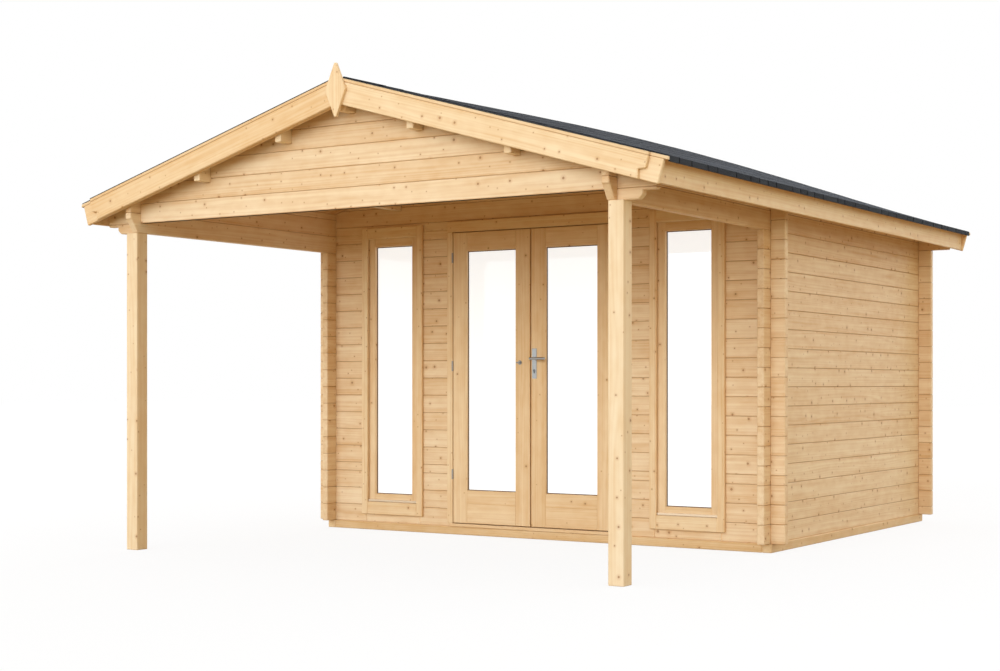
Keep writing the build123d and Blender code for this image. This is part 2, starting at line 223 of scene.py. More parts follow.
def cut_away(bm, point, normal):
    """Cuts off what lies beyond a plane and closes the cut."""
    geometry = bm.verts[:] + bm.edges[:] + bm.faces[:]
    cut = bmesh.ops.bisect_plane(bm, geom=geometry, plane_co=point, plane_no=normal,
                                 clear_outer=True, dist=PLANE_TOLERANCE)
    edges = [item for item in cut["geom_cut"] if isinstance(item, bmesh.types.BMEdge)]
    edges = [edge for edge in edges if len(edge.link_faces) == 1]
    if edges:
        bmesh.ops.edgeloop_fill(bm, edges=edges)


def separate(bm):
    """Splits a mesh into its loose solids, in the same order each run."""
    left = set(bm.faces)
    solids = []
    for start in bm.faces:
        if start not in left:
            continue
        left.discard(start)
        seen = [start]
        for face in seen:
            for edge in face.edges:
                for other in edge.link_faces:
                    if other in left:
                        left.discard(other)
                        seen.append(other)
        solid = bmesh.new()
        made = {}
        for face in seen:
            corners = []
            for vert in face.verts:
                if vert not in made:
                    made[vert] = solid.verts.new(vert.co)
                corners.append(made[vert])
            solid.faces.new(corners)
        bmesh.ops.recalc_face_normals(solid, faces=solid.faces[:])
        solid.normal_update()
        solids.append(solid)
    bm.free()
    return sorted(solids, key=corner_key)


def corner_key(bm):
    return tuple(round(min(vert.co[axis] for vert in bm.verts), 4) for axis in range(3))


def slices(name, direction, places):
    """A node's solids, cut square to a direction at each of the places along it."""
    whole = node_mesh(name)
    reach = [vert.co.dot(direction) for vert in whole.verts]
    inside = [place for place in places if min(reach) + CUT_MARGIN < place < max(reach) - CUT_MARGIN]
    bounds = [None] + inside + [None]
    found = []
    for low, high in zip(bounds, bounds[1:]):
        part = whole.copy()
        if high is not None:
            cut_away(part, direction * high, direction)
        if low is not None:
            cut_away(part, direction * low, -direction)
        found += separate(part)
    whole.free()
    return found


def solid_boxes(name):
    """Lowest and highest corner of each solid of a node, from left to right."""
    found = []
    for solid in separate(node_mesh(name)):
        low = Vector([min(vert.co[axis] for vert in solid.verts) for axis in range(3)])
        high = Vector([max(vert.co[axis] for vert in solid.verts) for axis in range(3)])
        found.append((low, high))
        solid.free()
    return sorted(found, key=lambda box: box[0].x)


def logs(name, joints, material, free_below=False):
    """Stacked logs in place of a wall node. A free lower edge gets no dark joint of dust and painted shade.
    """
    timber = Timber(name + "_logs")
    up = Vector(ALONG_Z)
    along = ALONG_Y if "side" in name else ALONG_X
    boxes = solid_boxes(name) if free_below else []
    for solid in slices(name, up, joints):
        left = min(vert.co.x for vert in solid.verts)
        free = [low.z for low, high in boxes if low.x - JOINT_DEPTH < left < high.x]
        dark = [height for height in joints if all(height > z + 2 * JOINT_DEPTH for z in free)]
        timber.add(solid, LOG_BEVEL, along, (up, dark))
    timber.finish(name, material)


def planks(name, direction, width, material, along):
    """Boards of about one width in place of a sheet node."""
    low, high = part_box(name)
    direction = Vector(direction)
    start, end = low.dot(direction), high.dot(direction)
    count = round((end - start) / width)
    step = (end - start) / count
    places = [start + step * index for index in range(1, count)]
    timber = Timber(name + "_planks")
    for solid in slices(name, direction, places):
        timber.add(solid, BOARD_BEVEL, along, (direction, places))
    timber.finish(name, material)


def whole_timbers(name, material, along, bevel=BOARD_BEVEL):
    """The node's own solids as rounded timbers."""
    timber = Timber(name + "_timber")
    for solid in separate(node_mesh(name)):
        timber.add(solid, bevel, along)
    timber.finish(name, material)


# Materials
class Shader:
    """The nodes of a material or world, with short names for those that it uses."""

    def __init__(self, owner, output="OutputMaterial"):
        self.owner = owner
        owner.use_nodes = True
        self.tree = owner.node_tree
        self.tree.nodes.clear()
        self.output = self.node(output)

    def node(self, kind, inputs=None, **settings):
        made = self.tree.nodes.new("ShaderNode" + kind)
        for key, value in settings.items():
            setattr(made, key, value)
        for key, value in (inputs or {}).items():
            self.put(made.inputs[key], value)
        return made

    def put(self, socket, value):
        if isinstance(value, bpy.types.NodeSocket):
            self.tree.links.new(value, socket)
        else:
            socket.default_value = value

    def attribute(self, name, output="Vector"):
        return self.node("Attribute", attribute_name=name).outputs[output]

    def object_place(self):
        return self.node("TexCoord").outputs["Object"]

    def fill(self, made, values):
        """Puts values into a node's first inputs, in their order."""
        for socket, value in zip(made.inputs, values):
            self.put(socket, value)
        return made

    def math(self, operation, *values, clamp=False):
        return self.fill(self.node("Math", operation=operation, use_clamp=clamp), values).outputs[0]

    def times_plus(self, value, factor, extra, clamp=False):
        return self.math("MULTIPLY_ADD", value, factor, extra, clamp=clamp)

    def stretched(self, place, factors):
        return self.fill(self.node("VectorMath", operation="MULTIPLY"), (place, factors)).outputs["Vector"]

    def length(self, vector):
        return self.fill(self.node("VectorMath", operation="LENGTH"), (vector,)).outputs["Value"]

    def split(self, value):
        return self.node("SeparateXYZ", {0: value}).outputs

    def join(self, *values):
        return self.fill(self.node("CombineXYZ"), values).outputs[0]

    def noise(self, place, scale=1.0, detail=2.0, roughness=0.5):
        made = self.node("TexNoise", {"Vector": place, "Scale": scale, "Detail": detail,
                                      "Roughness": roughness})
        return made.outputs["Fac"]

    def step(self, value, low, high, bottom=0.0, top=1.0):
        """Smooth step from bottom to top as the value goes from low to high."""
        made = self.node("MapRange", {"Value": value, "From Min": low, "From Max": high,
                                      "To Min": bottom, "To Max": top})
        made.interpolation_type = "SMOOTHSTEP"
        return made.outputs["Result"]

    def mix(self, factor, first, second):
        return self.node("Mix", {0: factor, 6: first, 7: second}, data_type="RGBA").outputs[2]

    def bump(self, height, distance, strength):
        made = self.node("Bump", {"Height": height, "Distance": distance, "Strength": strength})
        return made.outputs["Normal"]

    def seen(self):
        """One for rays from the camera, through glass or off gloss, and none for other light."""
        path = self.node("LightPath").outputs
        seen = self.math("MAXIMUM", path["Is Camera Ray"], path["Is Glossy Ray"])
        return self.math("MAXIMUM", seen, path["Is Transmission Ray"])

    def mix_surfaces(self, share, first, second):
        """Leads a mix of two shaders to the output."""
        made = self.node("MixShader", {0: share, 1: first.outputs[0], 2: second.outputs[0]})
        self.tree.links.new(made.outputs[0], self.output.inputs["Surface"])

    def surface(self, **inputs):
        made = self.node("BsdfPrincipled")
        for key, value in inputs.items():
            self.put(made.inputs[key.replace("_", " ")], value)
        self.tree.links.new(made.outputs[0], self.output.inputs["Surface"])
        return self.owner


def material_shader(name):
    return Shader(bpy.data.materials.new(name))


def colour(red, green, blue):
    """Linear colour from a screen colour of 0 to 255."""
    def linear(value):
        value /= 255
        return value / 12.92 if value <= 0.04045 else ((value + 0.055) / 1.055) ** 2.4
    return (linear(red), linear(green), linear(blue), 1.0)


RING_SPACING = 0.0075
KNOTS_PER_METRE = 10.5
SMALLEST_KNOT = 0.0024       # radius
KNOT_RANGE = 0.0058          # the largest knot's radius is this much more
KNOT_CORE = colour(146, 92, 48)
KNOT_HALO = colour(196, 138, 82)
# Joint colour: partly dust, partly painted shade of the narrow slit between pieces.
SEAM_DUST_AND_SHADE = colour(138, 90, 48)


def wood(name, light, dark, knots=0.8, knot_size=1.0, rough=0.55):
    """Planed spruce: growth rings through the solid, soft streaks and small round knots, with painted shade
    towards the long edges and in the joints.
    """
    shader = material_shader(name)
    grain = shader.attribute("grain")
    tone = shader.split(shader.attribute("tone"))
    groove = shader.attribute("groove", "Fac")
    band = shader.attribute("band", "Fac")
    flat_along, flat_across, end = shader.split(shader.attribute("flat"))
    across, depth = shader.split(grain)[1:]
    slow = shader.noise(shader.stretched(grain, (0.9, 7.0, 7.0)), 1.0, 1.0)
    wander = shader.math("MULTIPLY", shader.math("SUBTRACT", slow, 0.5), 0.03)

    place = shader.join(flat_along, flat_across, 0.0)
    cells = shader.node("TexVoronoi", {"Vector": place, "Scale": KNOTS_PER_METRE, "Randomness": 1.0},
                        voronoi_dimensions="2D")
    chance = shader.split(cells.outputs["Color"])
    distance = shader.math("DIVIDE", cells.outputs["Distance"], KNOTS_PER_METRE)
    radius = shader.times_plus(shader.math("POWER", chance[1], 3.0), KNOT_RANGE * knot_size,
                               SMALLEST_KNOT * knot_size)
    there = shader.math("LESS_THAN", chance[0], knots)
    there = shader.math("MULTIPLY", there, shader.math("SUBTRACT", 1.0, end))
    share = shader.math("DIVIDE", distance, radius)
    core = shader.math("MULTIPLY", shader.step(share, 0.75, 1.15, 1.0, 0.0), there)
    halo = shader.math("MULTIPLY", shader.step(share, 1.0, 3.6, 1.0, 0.0), there)

    ring_y = shader.times_plus(halo, 0.004, shader.math("ADD", across, wander))
    ring_z = shader.math("ADD", depth, wander)
    ring_radius = shader.length(shader.join(0.0, ring_y, ring_z))
    rings = shader.math("SINE", shader.math("MULTIPLY", ring_radius, 2 * pi / RING_SPACING))
    rings = shader.math("POWER", shader.times_plus(rings, 0.5, 0.5), 2.0)
    streaks = shader.noise(shader.stretched(grain, (1.1, 62.0, 62.0)), 1.0, 3.0, 0.6)
    bands = shader.noise(shader.stretched(grain, (1.6, 26.0, 26.0)), 1.0, 1.0)
    fibre = shader.noise(shader.stretched(grain, (14.0, 700.0, 700.0)), 1.0, 1.0)
    figure = shader.noise(shader.stretched(grain, (9.0, 18.0, 18.0)), 1.0, 2.0)

    amount = shader.math("MULTIPLY", rings, 0.2)
    amount = shader.times_plus(shader.step(streaks, 0.3, 0.72), 0.26, amount)
    amount = shader.times_plus(shader.step(bands, 0.3, 0.7), 0.24, amount)
    amount = shader.times_plus(shader.step(figure, 0.3, 0.72), 0.24, amount)
    # Painted shade: logs and boards darker towards their long edges, as though their rounded sides were
    # turned from the light.
    edge = shader.math("POWER", shader.math("ABSOLUTE", band), 3.0)
    amount = shader.times_plus(edge, 0.16, amount)
    spread = shader.math("SUBTRACT", tone[0], 0.5)
    amount = shader.times_plus(spread, 0.36, amount, clamp=True)
    base = shader.mix(amount, light, dark)
    base = shader.mix(shader.math("MULTIPLY", halo, 0.26), base, KNOT_HALO)
    base = shader.mix(shader.math("MULTIPLY", core, 0.62), base, KNOT_CORE)
    # Joints darkened by dust and by painted shade of the slit between pieces.
    base = shader.mix(shader.step(groove, 0.35, 1.0, 0.0, 0.62), base, SEAM_DUST_AND_SHADE)
    roughness = shader.times_plus(streaks, 0.14, rough - 0.07)
    height = shader.times_plus(core, -1.2, shader.times_plus(fibre, 0.35, rings))
    return shader.surface(Base_Color=base, Roughness=roughness, IOR=1.25,
                          Normal=shader.bump(height, 0.0003, 0.5))


def shingle_material():
    """Slate-grey mineral granules on bitumen, with each tab a little different."""
    shader = material_shader("mineral_shingle")
    place = shader.object_place()
    tone = shader.split(shader.attribute("tone"))
    granules = shader.node("TexVoronoi", {"Vector": place, "Scale": 420.0}, voronoi_dimensions="3D")
    speck = shader.split(granules.outputs["Color"])[0]
    patches = shader.noise(place, 3.0, 3.0)
    base = shader.mix(shader.step(speck, 0.3, 1.0), colour(17, 19, 24), colour(54, 58, 66))
    base = shader.mix(shader.math("MULTIPLY", patches, 0.35), base, colour(18, 20, 25))
    base = shader.mix(shader.math("MULTIPLY", tone[0], 0.6), base, colour(60, 64, 73))
    return shader.surface(Base_Color=base, Roughness=shader.times_plus(speck, 0.1, 0.82), IOR=1.3,
                          Normal=shader.bump(speck, 0.0008, 0.7))


def metal(name, tint, rough, stretch):
    """Satin metal with fine brush lines."""
    shader = material_shader(name)
    lines = shader.noise(shader.stretched(shader.object_place(), stretch))
    base = shader.mix(shader.math("MULTIPLY", lines, 0.35), tint, colour(120, 119, 117))
    roughness = shader.times_plus(lines, 0.16, rough - 0.08)
    return shader.surface(Base_Color=base, Metallic=1.0, Roughness=roughness,
                          Normal=shader.bump(lines, 0.00005, 0.5))


def glowing_pane_material():
    """Pane with a painted white glow from its emission, though it is no lamp, and faint reflections in
    front.
    """
    shader = material_shader("pane_with_painted_glow")
    waves = shader.noise(shader.object_place(), 1.4, 1.0)
    tint = shader.mix(waves, colour(150, 156, 158), colour(170, 174, 174))
    # Painted light: the white emission makes the pane glow.
    return shader.surface(Base_Color=tint, Roughness=0.02, IOR=1.8, Emission_Color=(1, 1, 1, 1),
                          Emission_Strength=0.78, Normal=shader.bump(waves, 0.0004, 0.3))


def gritty(name, low, high, scale, rough, depth, strength):
    """Dull dark face with a fine grit of two colours."""
    shader = material_shader(name)
    grit = shader.noise(shader.object_place(), scale)
    return shader.surface(Base_Color=shader.mix(grit, low, high), Roughness=rough, IOR=1.45,
                          Normal=shader.bump(grit, depth, strength))


log_wood = wood("spruce_logs", colour(246, 223, 190), colour(223, 183, 136))
frame_wood = wood("spruce_frame", colour(247, 228, 198), colour(232, 200, 157), 0.65, 0.85)
trim_wood = wood("spruce_trim", colour(245, 221, 185), colour(226, 185, 134), 0.75, 0.9)
join_wood = wood("spruce_joinery", colour(243, 216, 178), colour(224, 183, 133), 0.35, 0.8)
board_wood = wood("spruce_boards", colour(238, 202, 153), colour(211, 160, 103), 0.6)
base_wood = wood("spruce_foundation", colour(241, 215, 175), colour(219, 179, 128), 0.5)
slate = shingle_material()
satin = metal("satin_nickel", colour(158, 157, 152), 0.34, (60.0, 60.0, 900.0))
zinc = metal("dull_zinc", colour(168, 160, 150), 0.45, (300.0, 300.0, 60.0))
alloy = metal("matt_alloy", colour(222, 196, 162), 0.5, (40.0, 600.0, 600.0))
dark_steel = metal("dark_steel", colour(92, 92, 92), 0.42, (400.0, 400.0, 400.0))
pane = glowing_pane_material()
bitumen = gritty("bitumen_underlay", colour(14, 15, 18), colour(30, 31, 35), 260.0, 0.9, 0.0006, 0.5)
# The seal's dark brown: a real seal, darkened as painted shade of the gap round the glass.
seal_and_gap_shade = gritty("glazing_seal_gap_shade", colour(82, 54, 32), colour(104, 72, 46), 180.0, 0.7, 0.0002, 0.4)

# Walls
for side in ("left", "right"):
    logs(f"side_wall_{side}", whole_joints, log_wood)
    logs(f"side_beam_{side}", whole_joints, log_wood, free_below=True)
    logs(f"front_wall_{side}", front_joints, log_wood)
logs("front_wall_sills", [], log_wood)
logs("front_wall_top", half_joints, log_wood)
logs("rear_wall", half_joints, log_wood)
logs("rear_gable", half_joints, log_wood)
logs("porch_gable", half_joints, log_wood, free_below=True)

# Base, floor and frame
FLOOR_PLANK = 0.12
whole_timbers("foundation_side_beams", base_wood, ALONG_Y, LOG_BEVEL)
whole_timbers("foundation_cross_beams", base_wood, ALONG_X, LOG_BEVEL)
planks("floor_boards", ALONG_X, FLOOR_PLANK, board_wood, ALONG_Y)
whole_timbers("porch_posts", frame_wood, ALONG_Z, FRAME_BEVEL)
whole_timbers("ridge_purlin", frame_wood, ALONG_Y, FRAME_BEVEL)
whole_timbers("side_purlins", frame_wood, ALONG_Y, FRAME_BEVEL)

# Roof
PITCH = radians(16.13)
ROOF_PLANK = 0.096
ROOF_BOARD = 0.018
RAKE_HEIGHT = 0.120
RAKE_SETBACK = 0.012
LATH_REACH = 0.008
RAKE_BEVEL = 0.0036
FACE_THICKNESS = 0.020
FACE_SHORTER = 0.084         # face board ends this far before the roof boards
FACE_END_HEIGHT = 0.062
FACE_NOTCH = 0.041

half_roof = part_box("roof_boards_right")[1].x
ridge_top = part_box("roof_boards_right")[1].z


def way_of(side):
    return 1 if side == "right" else -1


def down_slope(side):
    return Vector((way_of(side) * cos(PITCH), 0, -sin(PITCH)))


def rake_line(x, below):
    """Height at x of a line under the top of the right roof boards."""
    return ridge_top - x * sin(PITCH) / cos(PITCH) - below / cos(PITCH)


def rake_timbers(end, side):
    """Bargeboard, notched face board and cover laths of one rake."""
    name = f"{end}_bargeboard_{side}"
    low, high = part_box(name)
    if end == "front":
        face_y, board_y = (low.y, low.y + FACE_THICKNESS), (low.y + FACE_THICKNESS, high.y)
    else:
        board_y, face_y = (low.y, high.y - FACE_THICKNESS), (high.y - FACE_THICKNESS, high.y)
    foot = ROOF_BOARD + RAKE_HEIGHT
    board_end = half_roof - RAKE_SETBACK
    face_end = half_roof - FACE_SHORTER
    cut_x = face_end - FACE_END_HEIGHT * sin(PITCH)
    cut_z = rake_line(face_end, ROOF_BOARD) - FACE_END_HEIGHT * cos(PITCH)
    board = [(0, rake_line(0, ROOF_BOARD)), (board_end, rake_line(board_end, ROOF_BOARD)),
             (board_end - RAKE_HEIGHT * sin(PITCH),
              rake_line(board_end, ROOF_BOARD) - RAKE_HEIGHT * cos(PITCH)), (0, rake_line(0, foot))]
    face = [(0, rake_line(0, ROOF_BOARD)), (face_end, rake_line(face_end, ROOF_BOARD)), (cut_x, cut_z),
            (cut_x - FACE_NOTCH, cut_z), (cut_x - FACE_NOTCH, rake_line(cut_x - FACE_NOTCH, foot)),
            (0, rake_line(0, foot))]
    pieces = [(board, board_y), (face, face_y)]
    for reach, ys in ((half_roof + LATH_REACH, board_y), (face_end, face_y)):
        lath = [(0, rake_line(0, 0)), (reach, rake_line(reach, 0)),
                (reach, rake_line(reach, ROOF_BOARD)), (0, rake_line(0, ROOF_BOARD))]
        pieces.append((lath, ys))
    way = way_of(side)
    up_slope = Vector((way * sin(PITCH), 0, cos(PITCH)))
    joints = (up_slope, [rake_line(0, ROOF_BOARD) * cos(PITCH)])
    timber = Timber(name + "_timber")
    for outline, (y0, y1) in pieces:
        outline = [(way * x, z) for x, z in outline]
        timber.prism(outline, y0, y1, RAKE_BEVEL, down_slope(side), joints)
    timber.finish(name, trim_wood)


for side in ("right", "left"):
    planks(f"roof_boards_{side}", ALONG_Y, ROOF_PLANK, board_wood, down_slope(side))
    rake_timbers("front", side)
    rake_timbers("rear", side)
whole_timbers("eave_fascias", trim_wood, ALONG_Y)
whole_timbers("finial", trim_wood, ALONG_Z)

# Covering of shingles
CROWN = 0.066                # the covering rises over the boards by this much in mid-slope
CROWN_LEAN = 0.8             # below 1 the crown is highest nearer the porch
ACROSS_STEPS = 12
ALONG_STEPS = 24
ROWS = 14
LAP = 1.25                   # tabs run this many rows up the slope
SHEET = 0.003
SHEET_LIFT = 0.0002
TAB_WIDTH = 0.222
TAB_GAP = 0.006
TAB_THICKNESS = 0.0032
TAB_SINK = 0.001             # tabs start this deep in what they lie on
TAB_LIFT = 0.0045            # of a tab's lower edge
SMALLEST_TAB = 0.02
TOP_SHARE = 0.002
RAKE_STRIP = 0.045
FOLD_DEPTH = 0.025
FOLD_TOP = 0.002
FOLD_SHEET = 0.0035
FOLD_CLEARANCE = 0.0002
FOLD_GAP = 0.012
FOLD_START = 0.042           # from the covering's ends
FOLD_WIDTHS = (0.45, 0.5, 0.5, 0.6, 0.8, 1.0)
FOLD_DROP = 0.026
FOLD_UNEVEN = 0.002
FOLD_SHOULDER = 0.003
FOLD_RISE = 0.0065
FOLD_LEDGE = 0.001
RIDGE_SETBACK = 0.06
RIDGE_SHARE = 0.07           # share of the slope that a ridge tab covers
RIDGE_TAB = 0.16
RIDGE_LAP = 1.2
RIDGE_THICKNESS = 0.004
RIDGE_LIFTS = (0.0035, 0.0055)

cover_low, cover_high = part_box("shingles_right")
cover_length = cover_high.y - cover_low.y


def roof_point(side, across, y, rise):
    """Point over the right or left slope, a share across from the ridge, raised by some height."""
    share = (y - cover_low.y) / cover_length
    lengthwise = sin(pi * min(max(share, 0), 1) ** CROWN_LEAN)
    bulge = CROWN * sin(pi * min(max(across, 0), 1)) * lengthwise
    x = half_roof * across
    return Vector((way_of(side) * x, y, ridge_top - x * sin(PITCH) / cos(PITCH) + bulge + rise))


class Sheets:
    """Collects thin closed slabs with a random tone each."""

    def __init__(self, name):
        self.name = name
        self.random = Random(name)
        self.points, self.faces, self.tone, self.dark = [], [], [], []

    def slab(self, lower, upper, dark=0):
        """Closed slab between two rings of as many points."""
        first, count = len(self.points), len(lower)
        self.dark += [dark] * (count + 2)
        self.points += lower + upper
        self.tone += [[self.random.random() for _ in range(3)]] * (2 * count)
        self.faces.append([first + index for index in reversed(range(count))])
        self.faces.append([first + count + index for index in range(count)])
        for index in range(count):
            after = (index + 1) % count
            self.faces.append([first + index, first + after, first + count + after, first + count + index])

    def finish(self, replaced):
        mesh = bpy.data.meshes.new(self.name)
        mesh.from_pydata(self.points, [], self.faces)
        bm = bmesh.new()
        bm.from_mesh(mesh)
        bmesh.ops.recalc_face_normals(bm, faces=bm.faces[:])
        bm.to_mesh(mesh)
        bm.free()
        put_vectors(mesh, "tone", "POINT", self.tone)
        mesh.materials.append(slate)
        mesh.materials.append(bitumen)
        for face, index in zip(mesh.polygons, self.dark):
            face.material_index = index
        add_piece(self.name, mesh, "cabin", replaced)


def underlay(sheets, side):
    """Thin sheet under the tabs, narrower where the face boards end."""
    face_share = 1 - FACE_SHORTER / half_roof
    edges = [row / ACROSS_STEPS for row in range(ACROSS_STEPS)] + [face_share, 1]
    for shares in zip(edges, edges[1:]):
        for column in range(ALONG_STEPS):
            ys = [cover_low.y + cover_length * (column + extra) / ALONG_STEPS for extra in (0, 1)]
            if shares[0] == face_share:
                ys = [max(ys[0], cover_low.y + FACE_THICKNESS), min(ys[1], cover_high.y - FACE_THICKNESS)]
            ring = [(shares[0], ys[0]), (shares[1], ys[0]), (shares[1], ys[1]), (shares[0], ys[1])]
            sheets.slab([roof_point(side, *place, SHEET_LIFT) for place in ring],
                        [roof_point(side, *place, SHEET) for place in ring], 1)


def tab_rows(sheets, side):
    """Rows of tabs from the eave up, each row half a tab on from the last."""
    exposure = 1 / ROWS
    count = int(cover_length / TAB_WIDTH) + 1
    for row in range(ROWS):
        low_share = 1 - row * exposure
        high_share = max(low_share - LAP * exposure, TOP_SHARE)
        start = cover_low.y - (TAB_WIDTH / 2 if row % 2 else 0)
        for index in range(count + 1):
            y0 = max(start + index * TAB_WIDTH + TAB_GAP / 2, cover_low.y + RAKE_STRIP)
            y1 = min(start + (index + 1) * TAB_WIDTH - TAB_GAP / 2, cover_high.y - RAKE_STRIP)
            if y1 - y0 < SMALLEST_TAB:
                continue
            ring = [(low_share, y0), (low_share, y1), (high_share, y1), (high_share, y0)]
            lifts = [lift - TAB_SINK for lift in (TAB_LIFT, TAB_LIFT, SHEET, SHEET)]
            sheets.slab([roof_point(side, *place, lift) for place, lift in zip(ring, lifts)],
                        [roof_point(side, *place, lift + TAB_THICKNESS)
                         for place, lift in zip(ring, lifts)])


def eave_fold(sheets, side):
    """Underlay and uneven tabs folded down over the eave."""
    way = way_of(side)
    eave = roof_point(side, 1, cover_low.y, 0).z
    y0, y1 = cover_low.y + FOLD_START, cover_high.y - FOLD_START
    outer = cover_high.x - FOLD_CLEARANCE
    inner = half_roof + FOLD_SHEET
    fold = [(half_roof, eave - FOLD_DEPTH), (inner, eave - FOLD_DEPTH),
            (inner, eave + FOLD_TOP), (half_roof, eave + FOLD_TOP)]
    sheets.slab([Vector((way * x, y0, z)) for x, z in fold], [Vector((way * x, y1, z)) for x, z in fold], 1)
    low_y = y0
    while low_y < y1 - SMALLEST_TAB:
        width = TAB_WIDTH * sheets.random.choice(FOLD_WIDTHS)
        high_y = min(low_y + width - FOLD_GAP, y1)
        drop = eave - FOLD_DROP + sheets.random.uniform(0, FOLD_UNEVEN)
        profile = [(inner, drop), (outer, drop), (outer, eave + FOLD_SHOULDER),
                   (half_roof, eave + FOLD_RISE), (half_roof, eave + FOLD_SHOULDER),
                   (inner, eave + FOLD_LEDGE)]
        sheets.slab([Vector((way * x, low_y, z)) for x, z in profile],
                    [Vector((way * x, high_y, z)) for x, z in profile])
        low_y += width


def ridge_tabs():
    """Short tabs folded over the ridge, each lapping the next."""
    sheets = Sheets("ridge_tabs")
    start = cover_low.y + RIDGE_SETBACK
    covered = cover_high.y - start
    count = int(covered / RIDGE_TAB)
    step = covered / count
    for index in range(count):
        y0 = start + index * step
        y1 = min(y0 + step * RIDGE_LAP, cover_high.y)
        ends = [[roof_point(side, share, y, lift + SHEET)
                 for side, share in (("left", RIDGE_SHARE), ("left", 0), ("right", RIDGE_SHARE))]
                for y, lift in zip((y0, y1), RIDGE_LIFTS)]
        under = ends[0] + ends[1][::-1]
        sheets.slab(under, [point + Vector((0, 0, RIDGE_THICKNESS)) for point in under])
    sheets.finish([])


for side in ("left", "right"):
    covering = Sheets(f"shingle_rows_{side}")
    underlay(covering, side)
    tab_rows(covering, side)
    eave_fold(covering, side)
    covering.finish([f"shingles_{side}"])
ridge_tabs()

# Door and windows
RAIL_JOINT = 0.205           # height of the joint in a leaf's double lower rail
TRIM_SIDE = 0.048
TRIM_TOP = 0.074
TRIM_BOTTOM = 0.084
ARCHITRAVE_SIDE = 0.044


def hole_in(low, high, side, bottom, top):
    """Corners of the hole in a frame with sides, a bottom and a top of these widths."""
    return (Vector((low.x + side, low.y, low.z + bottom)),
            Vector((high.x - side, high.y, high.z - top)))


def framed(timber, low, high, hole_low, hole_high, bevel, lower_joint=None):
    """Two upright stiles with rails between them round a hole."""
    timber.box(low, (hole_low.x, high.y, high.z), bevel, ALONG_Z)
    timber.box((hole_high.x, low.y, low.z), high, bevel, ALONG_Z)
    timber.box((hole_low.x, low.y, hole_high.z), (hole_high.x, high.y, high.z), bevel, ALONG_X)
    split = low.z if lower_joint is None else lower_joint
    timber.box((hole_low.x, low.y, split), (hole_high.x, high.y, hole_low.z), bevel, ALONG_X)
    if lower_joint is not None:
        timber.box((hole_low.x, low.y, low.z), (hole_high.x, high.y, split), bevel, ALONG_X)


for side in ("left", "right"):
    leaf = Timber(f"leaf_{side}")
    framed(leaf, *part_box(f"door_leaf_{side}"), *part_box(f"door_glass_{side}"), BOARD_BEVEL, RAIL_JOINT)
    leaf.finish(f"door_leaf_{side}", join_wood)

sashes = Timber("window_sashes")
for sash_box, glass_box in zip(solid_boxes("window_frames"), solid_boxes("window_glass")):
    framed(sashes, *sash_box, *glass_box, BOARD_BEVEL)
sashes.finish("window_frames", join_wood)
trims = Timber("window_surrounds")
for low, high in solid_boxes("window_trims"):
    framed(trims, low, high, *hole_in(low, high, TRIM_SIDE, TRIM_BOTTOM, TRIM_TOP), FRAME_BEVEL)
trims.finish("window_trims", trim_wood)

whole_timbers("door_jambs", join_wood, ALONG_Z)
whole_timbers("door_head", join_wood, ALONG_X)
whole_timbers("door_threshold", join_wood, ALONG_X)

architrave = Timber("door_surround")
low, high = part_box("door_architrave")
head_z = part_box("door_jambs")[1].z
architrave.box((low.x, low.y, head_z), high, FRAME_BEVEL, ALONG_X)
for x0, x1 in ((low.x, low.x + ARCHITRAVE_SIDE), (high.x - ARCHITRAVE_SIDE, high.x)):
    architrave.box((x0, low.y, low.z), (x1, high.y, head_z), FRAME_BEVEL, ALONG_Z)
architrave.finish("door_architrave", trim_wood)


# Metal fittings
TURN_X = -0.078
TURN_Z = 1.118
TURN_BAR_REACH = 0.0165      # from the leaf's face
CYLINDER_HEIGHT = 0.05       # key cylinder above the foot of its plate
CYLINDER_TAIL = 0.0125       # round foot of the keyhole below the cylinder
SMOOTH_ANGLE = radians(35)
ROUND_SIDES = 24
ROSE_SIDES = 32

# Turned shapes as pairs of a reach and a radius
ROSE = ((0, 0.0135), (0.0035, 0.0135), (0.005, 0.0115))
NECK = ((0.004, 0.0042), (0.018, 0.0042), (0.021, 0.0034))
TURN_BAR = ((0.009, 0.0028), (0.0075, 0.0042), (0, 0.0048), (-0.016, 0.004), (-0.0185, 0.0024))
CYLINDER = ((-0.001, 0.0085), (0.0012, 0.0085), (0.0018, 0.0075))
KEYHOLE_FOOT = ((-0.001, 0.005), (0.0012, 0.005), (0.0018, 0.0042))


class Fitting:
    """Collects turned and swept metal parts into one smooth mesh."""

    def __init__(self, name):
        self.name = name
        self.bm = bmesh.new()

    def sweep(self, path, radii, sides=ROUND_SIDES):
        """Round bar along a level path, with a radius for each of its points."""
        path = [Vector(point) for point in path]
        upright = Vector(ALONG_Z)
        rings = []
        for index, point in enumerate(path):
            before, after = path[max(index - 1, 0)], path[min(index + 1, len(path) - 1)]
            sideways = (after - before).normalized().cross(upright).normalized()
            ring = []
            for side in range(sides):
                angle = 2 * pi * side / sides
                out = sideways * cos(angle) + upright * sin(angle)
                ring.append(self.bm.verts.new(point + out * radii[index]))
            rings.append(ring)
        for first, second in zip(rings, rings[1:]):
            for side in range(sides):
                after = (side + 1) % sides
                self.bm.faces.new((first[side], first[after], second[after], second[side]))
        self.bm.faces.new(list(reversed(rings[0])))
        self.bm.faces.new(rings[-1])

    def turn(self, x, face, z, way, shape, sides=ROUND_SIDES):
        """Round shape that stands out of a face across Y, one way or the other."""
        path = [(x, face + way * reach, z) for reach, _ in shape]
        self.sweep(path, [radius for _, radius in shape], sides)

    def finish(self, material, body):
        bmesh.ops.recalc_face_normals(self.bm, faces=self.bm.faces[:])
        for face in self.bm.faces:
            face.smooth = True
        for edge in self.bm.edges:
            edge.smooth = len(edge.link_faces) == 2 and edge.calc_face_angle(0) < SMOOTH_ANGLE
        mesh = bpy.data.meshes.new(self.name)
        self.bm.to_mesh(mesh)
        self.bm.free()
        mesh.materials.append(material)
        add_piece(self.name, mesh, body, [])


